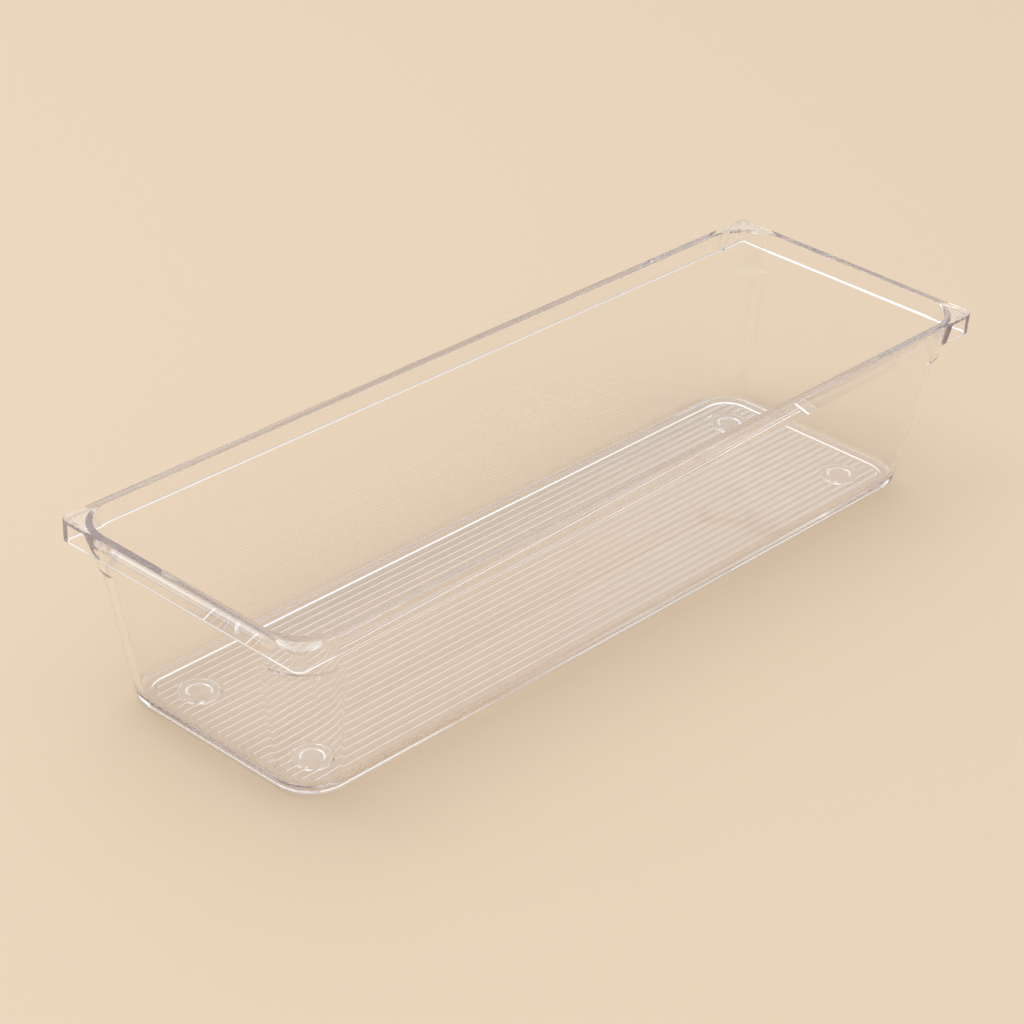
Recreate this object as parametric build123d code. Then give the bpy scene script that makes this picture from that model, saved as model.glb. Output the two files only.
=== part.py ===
"""Clear drawer pen tray: one moulded tray on four clear non-slip feet, each held by a thin adhesive disc.

X runs along the tray, Y across it and Z up, with the origin on the table under the middle of the tray.
"""
import os
from math import radians, tan
from build123d import *

# Overall size of the moulding, in millimetres, and how far the feet hold it off the table
tray_length = 250.0
tray_width = 80.0
tray_height = 49.0
foot_lift = 1.0

# Walls: the ends lean out more than the long sides, and the thickness is measured level
wall_thickness = 2.0
end_wall_draft = 0.216
side_wall_draft = 0.136
wall_inset_at_top = 0.4
floor_thickness = 2.0

# Outside corner radii of the walls, with a small step in each corner below the rim
base_corner_radius = 10.6
corner_radius_below_step = 13.9
corner_radius_above_step = 12.0
corner_radius_at_top = 13.0
step_below_top = 11.0
step_slope = 60.0

# Rim band around the opening, with a wide ear at each corner that is hollow underneath
rim_height = 5.9
rim_draft = 0.15
rim_corner_radius = 2.4
ear_web_thickness = 1.5
ear_skirt_thickness = 1.65
ear_pocket_corner_radius = 1.0

# Rounded edges of the moulding
rim_edge_round = 0.35
floor_inside_round = 2.0
base_outside_round = 0.9

# Shallow ribbed panel in the underside of the floor
panel_inset = 4.2
panel_depth = 0.6
panel_corner_radius = 7.0
rib_pitch = 2.4
rib_root_width = 1.2
rib_crest_width = 0.4
rib_setback = 0.2
rib_end_gap = 0.8

# Non-slip feet, the round clearings for them among the ribs, and the adhesive that holds them
foot_diameter = 10.2
foot_dimple_diameter = 6.6
foot_dimple_top_diameter = 5.4
foot_dimple_depth = 0.9
foot_edge_round = 0.6
foot_inset_from_end = 14.5
foot_inset_from_side = 14.1
seat_clearance = 0.3
adhesive_thickness = 0.2
adhesive_edge_margin = 0.4

# Heights that follow from the sizes above
base_z = foot_lift
floor_z = base_z + floor_thickness
panel_z = base_z + panel_depth
top_z = base_z + tray_height
rim_bottom_z = top_z - rim_height
ear_web_z = top_z - ear_web_thickness
step_top_z = top_z - step_below_top
adhesive_z = panel_z - adhesive_thickness

# Band of heights within which an edge counts as lying at a given level
level_band = 0.01


def end_inset(z):
    """Level distance from the rim's outer face to the outer face of an end wall at height z."""
    return wall_inset_at_top + end_wall_draft * (top_z - z)


def side_inset(z):
    """Level distance from the rim's outer face to the outer face of a long wall at height z."""
    return wall_inset_at_top + side_wall_draft * (top_z - z)


def outline(z, inset_x, inset_y, radius):
    """Rounded rectangle at height z, set in from the rim's outer face."""
    return Pos(0, 0, z) * RectangleRounded(tray_length - 2 * inset_x, tray_width - 2 * inset_y, radius)


def wall_outline(z, wall_z, set_in, radius):
    """Outline at height z, set in from where the walls' outer faces and rounded corners lie at wall_z."""
    return outline(z, end_inset(wall_z) + set_in, side_inset(wall_z) + set_in, radius - set_in)


def wall_face(bottom_z, set_in):
    """Closed form bounded by one face of the walls, from bottom_z up to the top of the tray."""
    step_run = corner_radius_below_step - corner_radius_above_step
    step_bottom_z = step_top_z - step_run * tan(radians(step_slope))
    below_step = loft(
        [
            wall_outline(bottom_z, bottom_z, set_in, base_corner_radius),
            wall_outline(step_top_z, step_top_z, set_in, corner_radius_below_step),
        ],
        ruled=True,
    )
    above_step = loft(
        [
            wall_outline(step_bottom_z, step_top_z, set_in + step_run, corner_radius_above_step),
            wall_outline(step_top_z, step_top_z, set_in, corner_radius_above_step),
            wall_outline(top_z, top_z, set_in, corner_radius_at_top),
        ],
        ruled=True,
    )
    return below_step + above_step


def edges_at(shape, z):
    """Edges of a shape that lie level at height z."""
    return shape.edges().filter_by_position(Axis.Z, z - level_band, z + level_band)


# Outside and inside of the walls, rounded where they turn into the floor
outside = wall_face(base_z, 0)
outside = fillet(edges_at(outside, base_z), base_outside_round)
inside = wall_face(floor_z, wall_thickness)
inside = fillet(edges_at(inside, floor_z), floor_inside_round)

# Rim band, nearly square at the corners where the walls are well rounded
rim = loft(
    [
        outline(rim_bottom_z, rim_draft, rim_draft, rim_corner_radius),
        outline(top_z, 0, 0, rim_corner_radius),
    ],
    ruled=True,
)
rim = fillet(edges_at(rim, top_z) + edges_at(rim, rim_bottom_z), rim_edge_round)

# Hollow under the rim, which the walls fill again except in the ears, where a web and a skirt are left
pocket_inset = rim_draft + ear_skirt_thickness
pocket_height = ear_web_z - rim_bottom_z
rim -= extrude(outline(rim_bottom_z, pocket_inset, pocket_inset, ear_pocket_corner_radius), pocket_height)

# Places of the feet, measured in from the edges of the base
foot_x = tray_length / 2 - end_inset(base_z) - foot_inset_from_end
foot_y = tray_width / 2 - side_inset(base_z) - foot_inset_from_side
foot_places = {
    "front_left": (-foot_x, -foot_y),
    "front_right": (foot_x, -foot_y),
    "back_left": (-foot_x, foot_y),
    "back_right": (foot_x, foot_y),
}

# Panel in the underside, and the part of it that ribs may fill, which leaves each foot room
panel_end = end_inset(base_z) + panel_inset
panel_side = side_inset(base_z) + panel_inset
panel = extrude(outline(base_z, panel_end, panel_side, panel_corner_radius), panel_depth)
seat_radius = foot_diameter / 2 + seat_clearance
clearing = Cone(seat_radius + panel_depth, seat_radius, panel_depth)
crest_gap = rib_end_gap + panel_depth
rib_field = loft(
    [
        outline(base_z, panel_end + crest_gap, panel_side + crest_gap, panel_corner_radius - crest_gap),
        outline(panel_z, panel_end + rib_end_gap, panel_side + rib_end_gap, panel_corner_radius - rib_end_gap),
    ],
    ruled=True,
)
for place_x, place_y in foot_places.values():
    rib_field -= Pos(place_x, place_y, base_z + panel_depth / 2) * clearing

# Fine ribs along the panel, with sloped ends where they stop short of its edge and leave room for a foot
rib_profile = Polygon(
    (-rib_root_width / 2, panel_depth),
    (-rib_crest_width / 2, rib_setback),
    (rib_crest_width / 2, rib_setback),
    (rib_root_width / 2, panel_depth),
    align=None,
)
ribs_each_side = int((tray_width / 2 - panel_side - crest_gap - rib_root_width / 2) / rib_pitch)
ribs = []
for number in range(-ribs_each_side, ribs_each_side + 1):
    rib_start = (-tray_length / 2, number * rib_pitch, base_z)
    rib_plane = Plane(origin=rib_start, x_dir=(0, 1, 0), z_dir=(1, 0, 0))
    rib = extrude(rib_plane * rib_profile, tray_length)
    ribs.extend((rib & rib_field).solids())

# The moulded tray in one piece, with the edge of its opening rounded last
tray_body = rim + outside - inside - panel
tray_body = tray_body + ribs
opening_x = tray_length / 2 - end_inset(top_z) - wall_thickness + level_band
opening_y = tray_width / 2 - side_inset(top_z) - wall_thickness + level_band
opening_edges = edges_at(tray_body, top_z)
opening_edges = opening_edges.filter_by_position(Axis.X, -opening_x, opening_x)
opening_edges = opening_edges.filter_by_position(Axis.Y, -opening_y, opening_y)
tray_body = fillet(opening_edges, rim_edge_round)

# Soft foot, a rounded ring with a dished centre underneath, and the adhesive disc that holds it
foot = Pos(0, 0, adhesive_z / 2) * Cylinder(foot_diameter / 2, adhesive_z)
dimple = Cone(foot_dimple_diameter / 2, foot_dimple_top_diameter / 2, foot_dimple_depth)
foot -= Pos(0, 0, foot_dimple_depth / 2) * dimple
foot = fillet(edges_at(foot, 0), foot_edge_round)
adhesive = Cylinder(foot_diameter / 2 - adhesive_edge_margin, adhesive_thickness)
adhesive = Pos(0, 0, adhesive_z + adhesive_thickness / 2) * adhesive

# One file for each piece
os.makedirs("parts", exist_ok=True)
export_step(tray_body, "parts/tray_body.step")
for name, (place_x, place_y) in foot_places.items():
    export_step(Pos(place_x, place_y, 0) * foot, "parts/foot_" + name + ".step")
    export_step(Pos(place_x, place_y, 0) * adhesive, "parts/foot_adhesive_" + name + ".step")
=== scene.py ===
import math
import bmesh
import bpy
from mathutils import Matrix, Vector


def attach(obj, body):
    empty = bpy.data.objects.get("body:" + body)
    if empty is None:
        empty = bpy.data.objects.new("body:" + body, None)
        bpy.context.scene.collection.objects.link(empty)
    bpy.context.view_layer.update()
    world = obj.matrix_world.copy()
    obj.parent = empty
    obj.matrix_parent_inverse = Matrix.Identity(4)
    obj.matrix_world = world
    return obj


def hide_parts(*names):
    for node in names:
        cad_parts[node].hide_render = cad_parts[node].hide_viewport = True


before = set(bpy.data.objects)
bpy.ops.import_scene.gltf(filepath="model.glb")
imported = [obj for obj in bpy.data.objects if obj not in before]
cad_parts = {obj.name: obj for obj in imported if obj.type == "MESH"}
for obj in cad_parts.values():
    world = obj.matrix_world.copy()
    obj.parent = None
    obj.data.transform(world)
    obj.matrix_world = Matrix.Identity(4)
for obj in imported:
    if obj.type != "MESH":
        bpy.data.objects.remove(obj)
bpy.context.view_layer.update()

bpy.ops.object.select_all(action="DESELECT")


# Tray: one shell of clear acrylic, injection moulded with drafted walls. Its rounded corners have a small
# step below the rim, and its squared rim band has an ear at each corner, hollow underneath. Fine ribs
# stand in a shallow panel under the floor and leave a round clearing for each foot.
mm = 0.001
tray_length = 250.0 * mm
tray_width = 80.0 * mm
base_z = 1.0 * mm
panel_z = 1.6 * mm
floor_z = 3.0 * mm
step_top_z = 39.0 * mm
rim_bottom_z = 44.1 * mm
top_z = 50.0 * mm
wall_thickness = 2.0 * mm
wall_inset_at_top = 0.4 * mm
end_wall_draft = 0.216
side_wall_draft = 0.136
base_corner_radius = 10.6 * mm
corner_radius_below_step = 13.9 * mm
corner_radius_above_step = 12.0 * mm
corner_radius_at_top = 13.0 * mm
step_slope = math.radians(60.0)
base_round = 0.9 * mm
floor_round = 2.0 * mm
corner_steps = 24
round_steps = 10
hair = 0.002 * mm


def end_inset(z):
    """Level distance from the rim's outer face to the outer face of an end wall at height z."""
    return wall_inset_at_top + end_wall_draft * (top_z - z)


def side_inset(z):
    """Level distance from the rim's outer face to the outer face of a long wall at height z."""
    return wall_inset_at_top + side_wall_draft * (top_z - z)


def drawn_in(draft, height, radius):
    """How far the round at the foot of a leaning wall draws its face in, at a height above the foot."""
    slope = math.hypot(1, draft)
    if height > radius * (1 - draft / slope):
        return 0
    return radius * (slope - draft) + draft * height - math.sqrt(radius ** 2 - (radius - height) ** 2)


def below_step(foot_z, set_in, radius):
    """Outlines of one face of the walls, from the round at its foot up to the step."""
    rows = []
    turns = [part / round_steps * math.pi / 2 for part in range(round_steps + 1)]
    levels = [radius * (1 - math.cos(turn)) for turn in turns]
    for height in levels + [step_top_z - foot_z]:
        z = foot_z + height
        in_x = drawn_in(end_wall_draft, height, radius)
        in_y = drawn_in(side_wall_draft, height, radius)
        share = height / (step_top_z - foot_z)
        corner = base_corner_radius + share * (corner_radius_below_step - base_corner_radius)
        corner -= set_in + (in_x + in_y) / 2
        rows.append((z, end_inset(z) + set_in + in_x, side_inset(z) + set_in + in_y, corner))
    return rows


def above_step(set_in, end_z):
    """Outlines of one face of the walls, from the lower end of the step's slope up to a height."""
    run = corner_radius_below_step - corner_radius_above_step
    step_bottom_z = step_top_z - run * math.tan(step_slope)
    end_x = end_inset(step_top_z) + set_in
    end_y = side_inset(step_top_z) + set_in
    step_corner = corner_radius_above_step - set_in
    share = (end_z - step_top_z) / (top_z - step_top_z)
    corner = corner_radius_above_step + share * (corner_radius_at_top - corner_radius_above_step)
    return [
        (step_bottom_z, end_x + run, end_y + run, step_corner - run),
        (step_top_z, end_x, end_y, step_corner),
        (end_z, end_inset(end_z) + set_in, side_inset(end_z) + set_in, corner - set_in),
    ]


def select_open_edges(with_boundary):
    """Selects the loose outline just added and, where asked, the open edge of the form so far."""
    bpy.ops.mesh.select_all(action="DESELECT")
    bpy.ops.mesh.select_non_manifold(
        extend=False, use_wire=True, use_boundary=with_boundary,
        use_multi_face=False, use_non_contiguous=False, use_verts=False,
    )


def add_outline(z, inset_x, inset_y, radius):
    """Adds a loose outline: a level rectangle with rounded corners, set in from the rim's outer face."""
    bpy.ops.mesh.select_all(action="DESELECT")
    bpy.ops.mesh.primitive_plane_add(size=1, location=(0, 0, z))
    bpy.ops.mesh.delete(type="ONLY_FACE")
    select_open_edges(with_boundary=False)
    sides = (tray_length - 2 * inset_x, tray_width - 2 * inset_y, 1)
    bpy.ops.transform.resize(value=sides, center_override=(0, 0, z))
    bpy.ops.mesh.bevel(offset=radius, offset_type="OFFSET", segments=corner_steps, affect="VERTICES")


def start_piece(name):
    """A new piece at the origin with nothing in it yet, open for editing."""
    bpy.ops.object.select_all(action="DESELECT")
    bpy.ops.object.add(type="MESH", enter_editmode=True, location=(0, 0, 0))
    piece = bpy.context.object
    piece.name = name
    piece.data.name = name
    bpy.ops.mesh.select_mode(type="EDGE")
    return piece


def bridge_outlines(name, rows):
    """Closed form through outlines given as (height, two insets, corner radius), capped at both ends."""
    piece = start_piece(name)
    for number, row in enumerate(rows):
        add_outline(*row)
        select_open_edges(with_boundary=True)
        if number == 0:
            bpy.ops.mesh.edge_face_add()
        else:
            bpy.ops.mesh.bridge_edge_loops()
    select_open_edges(with_boundary=True)
    bpy.ops.mesh.edge_face_add()
    bpy.ops.mesh.select_all(action="SELECT")
    bpy.ops.mesh.normals_make_consistent(inside=False)
    bpy.ops.object.mode_set(mode="OBJECT")
    return piece


def use_modifier(piece, kind, **settings):
    """Adds one modifier to a piece and applies it."""
    bpy.ops.object.select_all(action="DESELECT")
    piece.select_set(True)
    bpy.context.view_layer.objects.active = piece
    modifier = piece.modifiers.new(kind.lower(), kind)
    for setting, value in settings.items():
        setattr(modifier, setting, value)
    bpy.ops.object.modifier_apply(modifier=modifier.name)


def work_with(piece, tool, operation):
    """Cuts a piece with a tool, or adds the tool to it, and throws the tool away."""
    use_modifier(piece, "BOOLEAN", operation=operation, object=tool, solver="MANIFOLD")
    bpy.data.objects.remove(tool)


def smooth_faces(piece, sharp_angle):
    """Smooth shading over the rounds, with flat faces kept flat and true edges kept sharp."""
    bpy.ops.object.select_all(action="DESELECT")
    piece.select_set(True)
    bpy.context.view_layer.objects.active = piece
    bpy.ops.object.shade_smooth_by_angle(angle=math.radians(sharp_angle))
    use_modifier(piece, "WEIGHTED_NORMAL", mode="FACE_AREA", weight=100, keep_sharp=True)


# Outside of the walls in two forms, which meet at the step and end a little inside the rim
upper_walls_end_z = top_z - 0.75 * mm
tray = bridge_outlines("tray_shell", below_step(base_z, 0, base_round))
upper_walls = bridge_outlines("upper_walls", above_step(0, upper_walls_end_z))
work_with(tray, upper_walls, "UNION")

# Rim band, a block with small rounds, hollow underneath where the walls don't fill it: in the four ears
rim_draft = 0.15 * mm
rim_corner_radius = 2.4 * mm
rim_round = 0.35 * mm
rim_round_steps = 6
turns = [part / rim_round_steps * math.pi / 2 for part in range(rim_round_steps + 1)]
lower_round = [(rim_bottom_z + rim_round * (1 - math.cos(turn)), 1 - math.sin(turn)) for turn in turns]
upper_round = [(top_z - rim_round * (1 - math.sin(turn)), 1 - math.cos(turn)) for turn in turns]
rim_rows = []
for z, share in lower_round + upper_round:
    inset = rim_draft * (top_z - z) / (top_z - rim_bottom_z) + share * rim_round
    rim_rows.append((z, inset, inset, rim_corner_radius - inset))
rim = bridge_outlines("rim_band", rim_rows)
past_face = 1.0 * mm
ear_web_z = 48.5 * mm
pocket_inset = 1.8 * mm
pocket_radius = 1.0 * mm
pocket_ends = (rim_bottom_z - past_face, ear_web_z)
pockets = bridge_outlines(
    "ear_pockets", [(z, pocket_inset, pocket_inset, pocket_radius) for z in pocket_ends]
)
work_with(rim, pockets, "DIFFERENCE")
work_with(tray, rim, "UNION")

# Inside of the walls, again in two forms, taken out of the whole, and the edge of the opening rounded
hollow = bridge_outlines("tray_inside", below_step(floor_z, wall_thickness, floor_round))
upper_hollow = bridge_outlines("upper_inside", above_step(wall_thickness, top_z + past_face))
work_with(hollow, upper_hollow, "UNION")
work_with(tray, hollow, "DIFFERENCE")
bpy.ops.object.mode_set(mode="EDIT")
bpy.ops.mesh.select_mode(type="EDGE")
bpy.ops.mesh.select_all(action="DESELECT")
opening_x = tray_length / 2 - end_inset(top_z) - wall_thickness + hair
opening_y = tray_width / 2 - side_inset(top_z) - wall_thickness + hair
for edge in bmesh.from_edit_mesh(tray.data).edges:
    ends = [vert.co for vert in edge.verts]
    level = min(end.z for end in ends) > top_z - hair
    within = all(abs(end.x) < opening_x and abs(end.y) < opening_y for end in ends)
    edge.select_set(level and within)
bpy.ops.mesh.bevel(offset=rim_round, offset_type="OFFSET", segments=rim_round_steps, affect="EDGES")
bpy.ops.object.mode_set(mode="OBJECT")

# Shallow panel in the underside
panel_inset = 4.2 * mm
panel_corner_radius = 7.0 * mm
panel_end = end_inset(base_z) + panel_inset
panel_side = side_inset(base_z) + panel_inset
panel = bridge_outlines(
    "panel", [(z, panel_end, panel_side, panel_corner_radius) for z in (base_z - past_face, panel_z)]
)
work_with(tray, panel, "DIFFERENCE")

# Ribs in the panel, let a little into the floor above so that they become one with the tray
foot_inset_from_end = 14.5 * mm
foot_inset_from_side = 14.1 * mm
foot_x = tray_length / 2 - end_inset(base_z) - foot_inset_from_end
foot_y = tray_width / 2 - side_inset(base_z) - foot_inset_from_side
foot_radius = 5.1 * mm
clearing_radius = foot_radius + 0.3 * mm
circle_steps = 72
rib_pitch = 2.4 * mm
rib_root_width = 1.2 * mm
rib_crest_width = 0.4 * mm
rib_crest_z = 1.2 * mm
rib_crest_round = 0.15 * mm
let_in = 0.25 * mm
rib_end_gap = 0.8 * mm
crest_gap = rib_end_gap + panel_z - base_z
ribs_each_side = int((tray_width / 2 - panel_side - crest_gap - rib_root_width / 2) / rib_pitch)
relief = start_piece("underside_ribs")


def add_rib(end_x, y):
    """One rib along the panel, narrower at its crest than at its root, with the crest rounded."""
    middle = (0, y, (rib_crest_z + panel_z + let_in) / 2)
    sides = (2 * end_x, rib_root_width, panel_z + let_in - rib_crest_z)
    bpy.ops.mesh.select_all(action="DESELECT")
    bpy.ops.mesh.primitive_cube_add(size=1, location=middle)
    bpy.ops.transform.resize(value=sides, center_override=middle)
    for edge in bmesh.from_edit_mesh(relief.data).edges:
        edge.select_set(edge.select and max(vert.co.z for vert in edge.verts) < middle[2])
    crest = (1, rib_crest_width / rib_root_width, 1)
    bpy.ops.transform.resize(value=crest, center_override=middle)
    for edge in bmesh.from_edit_mesh(relief.data).edges:
        edge.select_set(edge.select and edge.calc_length() > rib_root_width)
    bpy.ops.mesh.bevel(offset=rib_crest_round, offset_type="OFFSET", segments=4, affect="EDGES")


for number in range(-ribs_each_side, ribs_each_side + 1):
    add_rib(tray_length / 2 - panel_end, number * rib_pitch)
bpy.ops.mesh.select_all(action="SELECT")
bpy.ops.mesh.normals_make_consistent(inside=False)
bpy.ops.object.mode_set(mode="OBJECT")

# The ribs stop short of the panel's edge, and of a round clearing for each foot, with sloped ends
clearing_top_z = panel_z + 2 * let_in
field_rows = []
for z in (base_z, clearing_top_z):
    gap = rib_end_gap + panel_z - z
    field_rows.append((z, panel_end + gap, panel_side + gap, panel_corner_radius - gap))
rib_field = bridge_outlines("rib_field", field_rows)
work_with(relief, rib_field, "INTERSECT")
foot_places = {
    "front_left": (-foot_x, -foot_y),
    "front_right": (foot_x, -foot_y),
    "back_left": (-foot_x, foot_y),
    "back_right": (foot_x, foot_y),
}
clearings = start_piece("foot_clearings")
for place_x, place_y in foot_places.values():
    bpy.ops.mesh.select_all(action="DESELECT")
    bpy.ops.mesh.primitive_cone_add(
        vertices=circle_steps,
        radius1=clearing_radius + panel_z - base_z, radius2=clearing_radius + panel_z - clearing_top_z,
        depth=clearing_top_z - base_z, location=(place_x, place_y, (base_z + clearing_top_z) / 2),
    )
bpy.ops.object.mode_set(mode="OBJECT")
work_with(relief, clearings, "DIFFERENCE")
work_with(tray, relief, "UNION")

# Corners that the cuts left within a thousandth of a millimetre of each other become one
merge_distance = 0.001 * mm
tray_sharp_angle = 16.5
bpy.ops.object.mode_set(mode="EDIT")
bpy.ops.mesh.select_all(action="SELECT")
bpy.ops.mesh.remove_doubles(threshold=merge_distance)
bpy.ops.object.mode_set(mode="OBJECT")
smooth_faces(tray, tray_sharp_angle)


def node(tree, kind, **settings):
    """Adds one node to a tree and sets its inputs and properties by name."""
    made = tree.nodes.new(kind)
    for setting, value in settings.items():
        if setting in made.inputs:
            made.inputs[setting].default_value = value
        else:
            setattr(made, setting, value)
    return made


def new_finish(name):
    """A material with a Principled shader, and its node tree."""
    finish = bpy.data.materials.new(name)
    finish.use_nodes = True
    return finish, finish.node_tree, finish.node_tree.nodes["Principled BSDF"]


def let_light_through(tree, shader, face_on, edge_on):
    """Lets light reach what lies behind a clear piece, dimmed most where it meets a face edge-on."""
    ray = node(tree, "ShaderNodeLightPath")
    either = node(tree, "ShaderNodeMath", operation="MAXIMUM")
    slant = node(tree, "ShaderNodeLayerWeight", Blend=0.5)
    steep = node(tree, "ShaderNodeMath", operation="POWER")
    steep.inputs[1].default_value = 4.0
    tint = node(tree, "ShaderNodeMix", data_type="RGBA")
    tint.inputs[6].default_value = face_on
    tint.inputs[7].default_value = edge_on
    clear = node(tree, "ShaderNodeBsdfTransparent")
    choice = node(tree, "ShaderNodeMixShader")
    tree.links.new(slant.outputs["Facing"], steep.inputs[0])
    tree.links.new(steep.outputs["Value"], tint.inputs["Factor"])
    tree.links.new(tint.outputs[2], clear.inputs["Color"])
    tree.links.new(ray.outputs["Is Shadow Ray"], either.inputs[0])
    tree.links.new(ray.outputs["Is Diffuse Ray"], either.inputs[1])
    tree.links.new(either.outputs["Value"], choice.inputs["Fac"])
    tree.links.new(shader.outputs["BSDF"], choice.inputs[1])
    tree.links.new(clear.outputs["BSDF"], choice.inputs[2])
    tree.links.new(choice.outputs["Shader"], tree.nodes["Material Output"].inputs["Surface"])


# Marks of moulding and handling that all the clear pieces share, each with its own values
handled = bpy.data.node_groups.new("handled_surface", "ShaderNodeTree")
handled_values = {
    "Clean Roughness": 0.02,
    "Hazed Roughness": 0.06,
    "Haze Scale": 60.0,
    "Flow Scale": 30.0,
}
for name, value in handled_values.items():
    socket = handled.interface.new_socket(name, in_out="INPUT", socket_type="NodeSocketFloat")
    socket.default_value = value
for name in ("Roughness", "Height"):
    handled.interface.new_socket(name, in_out="OUTPUT", socket_type="NodeSocketFloat")
handled_in = node(handled, "NodeGroupInput")
handled_out = node(handled, "NodeGroupOutput")
place = node(handled, "ShaderNodeTexCoord")
haze = node(handled, "ShaderNodeTexNoise", Detail=4.0, Roughness=0.6)
haze_range = node(handled, "ShaderNodeMapRange")
haze_range.inputs["From Min"].default_value = 0.45
haze_range.inputs["From Max"].default_value = 0.75
flow = node(handled, "ShaderNodeTexNoise", Detail=2.0, Roughness=0.4, Distortion=0.6)
link = handled.links.new
link(place.outputs["Object"], haze.inputs["Vector"])
link(handled_in.outputs["Haze Scale"], haze.inputs["Scale"])
link(haze.outputs["Fac"], haze_range.inputs["Value"])
link(handled_in.outputs["Clean Roughness"], haze_range.inputs["To Min"])
link(handled_in.outputs["Hazed Roughness"], haze_range.inputs["To Max"])
link(haze_range.outputs["Result"], handled_out.inputs["Roughness"])
link(place.outputs["Object"], flow.inputs["Vector"])
link(handled_in.outputs["Flow Scale"], flow.inputs["Scale"])
link(flow.outputs["Fac"], handled_out.inputs["Height"])

clear_tray, tree, shader = new_finish("clear_acrylic")
shader.inputs["Base Color"].default_value = (0.995, 0.992, 0.994, 1)
shader.inputs["Transmission Weight"].default_value = 1.0
shader.inputs["IOR"].default_value = 1.49
marks = node(tree, "ShaderNodeGroup", node_tree=handled)
marks.inputs["Clean Roughness"].default_value = 0.004
marks.inputs["Hazed Roughness"].default_value = 0.02
tree.links.new(marks.outputs["Roughness"], shader.inputs["Roughness"])
bump = node(tree, "ShaderNodeBump", Strength=0.015, Distance=0.001)
tree.links.new(marks.outputs["Height"], bump.inputs["Height"])
tree.links.new(bump.outputs["Normal"], shader.inputs["Normal"])
let_light_through(tree, shader, (0.93, 0.912, 0.9, 1), (0.35, 0.3, 0.28, 1))
absorb = node(tree, "ShaderNodeVolumeAbsorption", Color=(0.52, 0.42, 0.48, 1), Density=3.0)
tree.links.new(absorb.outputs["Volume"], tree.nodes["Material Output"].inputs["Volume"])
tray.data.materials.clear()
tray.data.materials.append(clear_tray)
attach(tray, "root")
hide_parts("tray_body")


# Adhesive discs: thin clear acrylic film, die-cut a little smaller than the feet and pressed up
# against the underside of the floor, in the round clearings among the ribs.
film_radius = 4.7 * mm
film_bottom_z = 1.41 * mm
film_top_z = 1.59 * mm
film_round = 0.05 * mm
film_middle = (0, 0, (film_bottom_z + film_top_z) / 2)
round_piece_sharp_angle = 40
bpy.ops.object.select_all(action="DESELECT")
bpy.ops.mesh.primitive_cylinder_add(
    vertices=circle_steps, radius=film_radius, depth=film_top_z - film_bottom_z,
    location=film_middle, enter_editmode=True,
)
film = bpy.context.object
bpy.ops.mesh.select_mode(type="EDGE")
bpy.ops.mesh.select_all(action="DESELECT")
for edge in bmesh.from_edit_mesh(film.data).edges:
    heights = [vert.co.z for vert in edge.verts]
    edge.select_set(abs(heights[0] - heights[1]) < hair)
bpy.ops.mesh.bevel(offset=film_round, segments=3, affect="EDGES")
bpy.ops.object.mode_set(mode="OBJECT")
bpy.ops.object.transform_apply(location=True, rotation=True, scale=True)
smooth_faces(film, round_piece_sharp_angle)

# The film wets both faces that it joins, so it hardly bends the light that goes through it
clear_adhesive, tree, shader = new_finish("acrylic_film")
shader.inputs["Base Color"].default_value = (0.97, 0.97, 0.96, 1)
shader.inputs["Transmission Weight"].default_value = 1.0
shader.inputs["IOR"].default_value = 1.03
marks = node(tree, "ShaderNodeGroup", node_tree=handled)
marks.inputs["Clean Roughness"].default_value = 0.08
marks.inputs["Hazed Roughness"].default_value = 0.3
marks.inputs["Haze Scale"].default_value = 900.0
tree.links.new(marks.outputs["Roughness"], shader.inputs["Roughness"])
let_light_through(tree, shader, (0.99, 0.99, 0.985, 1), (0.8, 0.79, 0.78, 1))
film.data.materials.append(clear_adhesive)


def set_in_clearings(model, name, node_name):
    """Copies a finished piece into each foot's clearing, each with its own mesh, and removes the model."""
    for corner, (place_x, place_y) in foot_places.items():
        bpy.ops.object.select_all(action="DESELECT")
        model.select_set(True)
        bpy.context.view_layer.objects.active = model
        bpy.ops.object.duplicate(linked=False)
        copy = bpy.context.object
        copy.name = name + "_" + corner
        copy.data.name = copy.name
        bpy.ops.transform.translate(value=(place_x, place_y, 0))
        bpy.ops.object.transform_apply(location=True, rotation=True, scale=True)
        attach(copy, "root")
        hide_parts(node_name + "_" + corner)
    bpy.data.objects.remove(model)


set_in_clearings(film, "adhesive_film", "foot_adhesive")


# Feet: soft clear polyurethane pads, cast as low discs with a dished underside and pressed on to the
# adhesive, so that the tray stands a millimetre off the table and doesn't slide.
foot_top_z = 1.4 * mm
foot_round = 0.6 * mm
lip_round = 0.35 * mm
dimple_radius = 3.3 * mm
dimple_top_radius = 2.7 * mm
dimple_depth = 0.9 * mm
foot_rings = ((foot_radius, foot_round), (dimple_radius, lip_round), (dimple_top_radius, lip_round))
bpy.ops.object.select_all(action="DESELECT")
bpy.ops.mesh.primitive_cylinder_add(
    vertices=circle_steps, radius=foot_radius, depth=foot_top_z,
    location=(0, 0, foot_top_z / 2), enter_editmode=True,
)
foot = bpy.context.object
bpy.ops.mesh.select_mode(type="FACE")
for face in bmesh.from_edit_mesh(foot.data).faces:
    face.select_set(face.normal.z < -0.5)
bpy.ops.mesh.inset(thickness=foot_radius - dimple_radius, depth=0)
bpy.ops.mesh.inset(thickness=dimple_radius - dimple_top_radius, depth=-dimple_depth)
bpy.ops.mesh.select_mode(type="EDGE")
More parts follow.
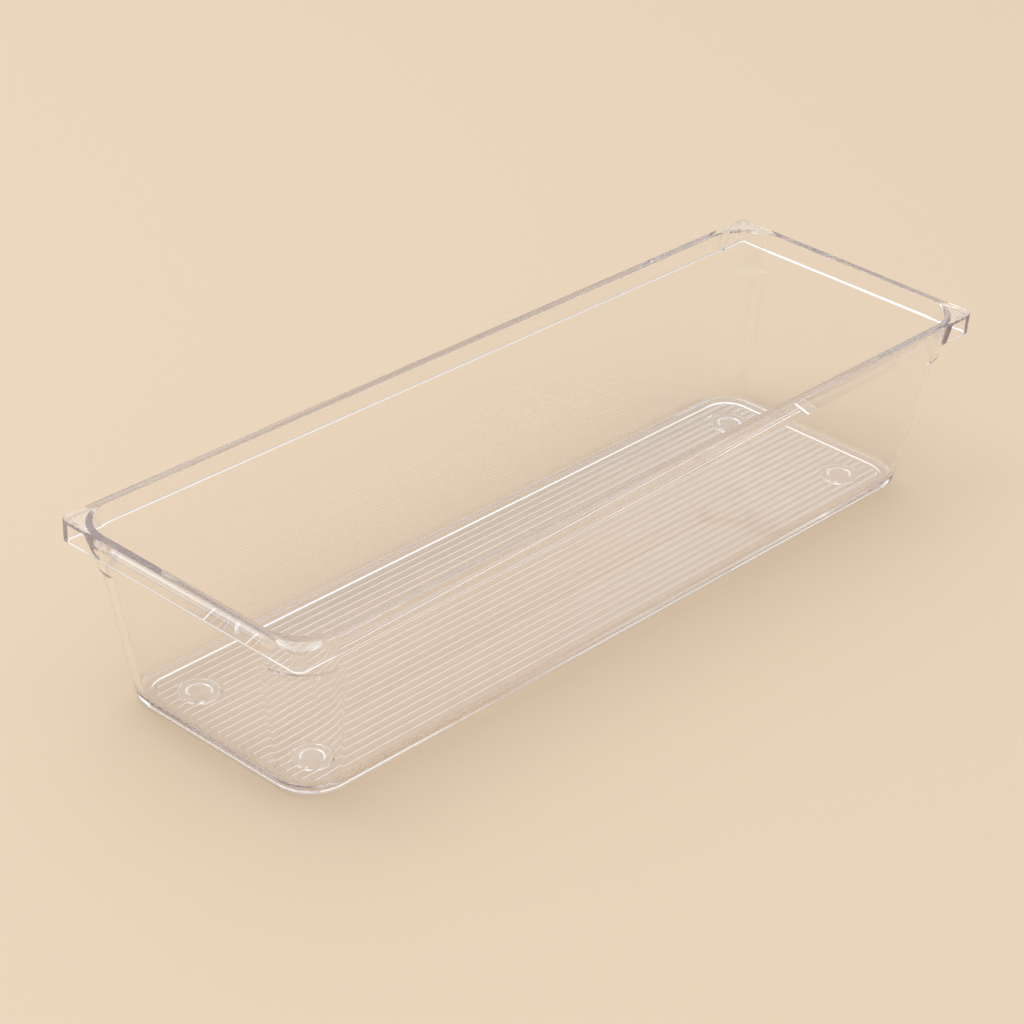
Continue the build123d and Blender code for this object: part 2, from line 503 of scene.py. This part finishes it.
for ring_radius, ring_round in foot_rings:
    bpy.ops.mesh.select_all(action="DESELECT")
    for edge in bmesh.from_edit_mesh(foot.data).edges:
        ends = [vert.co for vert in edge.verts]
        below_top = max(end.z for end in ends) < foot_top_z / 2 - hair
        on_ring = max(abs(end.xy.length - ring_radius) for end in ends) < hair
        level = abs(ends[0].z - ends[1].z) < hair
        edge.select_set(below_top and on_ring and level)
    bpy.ops.mesh.bevel(offset=ring_round, offset_type="OFFSET", segments=8, affect="EDGES")
bpy.ops.object.mode_set(mode="OBJECT")
bpy.ops.object.transform_apply(location=True, rotation=True, scale=True)
smooth_faces(foot, round_piece_sharp_angle)

clear_foot, tree, shader = new_finish("soft_polyurethane")
shader.inputs["Base Color"].default_value = (0.99, 0.985, 0.98, 1)
shader.inputs["Transmission Weight"].default_value = 1.0
shader.inputs["IOR"].default_value = 1.55
marks = node(tree, "ShaderNodeGroup", node_tree=handled)
marks.inputs["Clean Roughness"].default_value = 0.01
marks.inputs["Hazed Roughness"].default_value = 0.03
marks.inputs["Haze Scale"].default_value = 400.0
tree.links.new(marks.outputs["Roughness"], shader.inputs["Roughness"])
let_light_through(tree, shader, (0.99, 0.985, 0.98, 1), (0.6, 0.56, 0.54, 1))
foot.data.materials.append(clear_foot)
set_in_clearings(foot, "soft_foot", "foot")


# Stage: a plain pale floor under a wide soft light, with the camera where the photo was taken from.
# The floor lies a hair under the feet, so that the two faces don't fight.
bpy.ops.object.select_all(action="DESELECT")
floor_width = 6.0
floor_gap = 0.05 * mm
bpy.ops.mesh.primitive_plane_add(size=floor_width, location=(0, 0, -floor_gap))
floor = bpy.context.object
floor.name = "pale_floor"
pale, tree, shader = new_finish("pale_floor")
shader.inputs["Base Color"].default_value = (0.855, 0.693, 0.515, 1)
shader.inputs["Roughness"].default_value = 0.6
floor.data.materials.append(pale)

# The room is dim near the horizon, brighter overhead and brightest beyond the tray, a little to its left
bright_side = Vector((0.28, 0.62, 0.73)).normalized()
glow_strength = 0.42
horizon_strength = 0.34
overhead_strength = 0.78
world = bpy.data.worlds.new("soft_room")
bpy.context.scene.world = world
world.use_nodes = True
room = world.node_tree
sky = room.nodes["Background"]
sky.inputs["Color"].default_value = (1.0, 0.99, 0.98, 1)
looking = node(room, "ShaderNodeTexCoord")
towards = node(room, "ShaderNodeVectorMath", operation="DOT_PRODUCT")
towards.inputs[1].default_value = bright_side
glow = node(room, "ShaderNodeMapRange", interpolation_type="SMOOTHSTEP")
glow.inputs["From Min"].default_value = 0.65
glow.inputs["To Max"].default_value = glow_strength
height = node(room, "ShaderNodeSeparateXYZ")
overhead = node(room, "ShaderNodeMapRange", interpolation_type="SMOOTHSTEP")
overhead.inputs["From Min"].default_value = 0.1
overhead.inputs["From Max"].default_value = 0.6
overhead.inputs["To Min"].default_value = horizon_strength
overhead.inputs["To Max"].default_value = overhead_strength
brightness = node(room, "ShaderNodeMath", operation="ADD")
room.links.new(looking.outputs["Generated"], towards.inputs[0])
room.links.new(towards.outputs["Value"], glow.inputs["Value"])
room.links.new(looking.outputs["Generated"], height.inputs["Vector"])
room.links.new(height.outputs["Z"], overhead.inputs["Value"])
room.links.new(glow.outputs["Result"], brightness.inputs[0])
room.links.new(overhead.outputs["Result"], brightness.inputs[1])
room.links.new(brightness.outputs["Value"], sky.inputs["Strength"])

# Window light: a large panel on the left whose light fades softly towards its edges
window_side = Vector((-0.30, 0.32, 0.90)).normalized()
window_width = 1.3
window_height = 1.1
window_watts = 16.0
window_distance = 1.5
window = bpy.data.lights.new("window_light", "AREA")
window.shape = "RECTANGLE"
window.size = window_width
window.size_y = window_height
window.energy = window_watts
window.color = (1.0, 0.98, 0.95)
window.use_nodes = True
panel_light = window.node_tree
surface = node(panel_light, "ShaderNodeNewGeometry")
across = node(panel_light, "ShaderNodeSeparateXYZ")
panel_light.links.new(surface.outputs["Parametric"], across.inputs["Vector"])
fades = []
for axis in ("X", "Y"):
    from_middle = node(panel_light, "ShaderNodeMath", operation="PINGPONG")
    from_middle.inputs[1].default_value = 0.5
    fade = node(panel_light, "ShaderNodeMapRange", interpolation_type="SMOOTHERSTEP")
    fade.inputs["From Max"].default_value = 0.5
    panel_light.links.new(across.outputs[axis], from_middle.inputs[0])
    panel_light.links.new(from_middle.outputs["Value"], fade.inputs["Value"])
    fades.append(fade)
both = node(panel_light, "ShaderNodeMath", operation="MULTIPLY")
for number, fade in enumerate(fades):
    panel_light.links.new(fade.outputs["Result"], both.inputs[number])
panel_light.links.new(both.outputs["Value"], panel_light.nodes["Emission"].inputs["Strength"])
window_holder = bpy.data.objects.new("window_light", window)
bpy.context.scene.collection.objects.link(window_holder)
window_holder.location = window_side * window_distance
window_holder.rotation_euler = (-window_side).to_track_quat("-Z", "Y").to_euler()

# Camera fitted to the edges of the tray
camera_azimuth = math.radians(-48.783)
camera_elevation = math.radians(29.893)
camera_roll = math.radians(3.207)
camera_distance = 787.1 * mm
camera_aim = Vector((0.46, 11.38, 14.64)) * mm
camera_lens = 107.61
camera_data = bpy.data.cameras.new("photo_camera")
camera_data.lens = camera_lens
camera = bpy.data.objects.new("photo_camera", camera_data)
bpy.context.scene.collection.objects.link(camera)
turn = Matrix.Rotation(camera_azimuth, 3, "Z")
turn @= Matrix.Rotation(math.pi / 2 - camera_elevation, 3, "X")
turn @= Matrix.Rotation(camera_roll, 3, "Z")
camera.location = camera_aim + turn @ Vector((0, 0, camera_distance))
camera.rotation_euler = turn.to_euler()
bpy.context.scene.camera = camera
bpy.context.scene.view_settings.view_transform = "Standard"

# Light crosses many faces of clear plastic before it leaves the tray again
light_bounces = 512
bpy.context.scene.cycles.max_bounces = light_bounces
bpy.context.scene.cycles.glossy_bounces = light_bounces
bpy.context.scene.cycles.transmission_bounces = light_bounces
bpy.context.scene.cycles.transparent_max_bounces = light_bounces
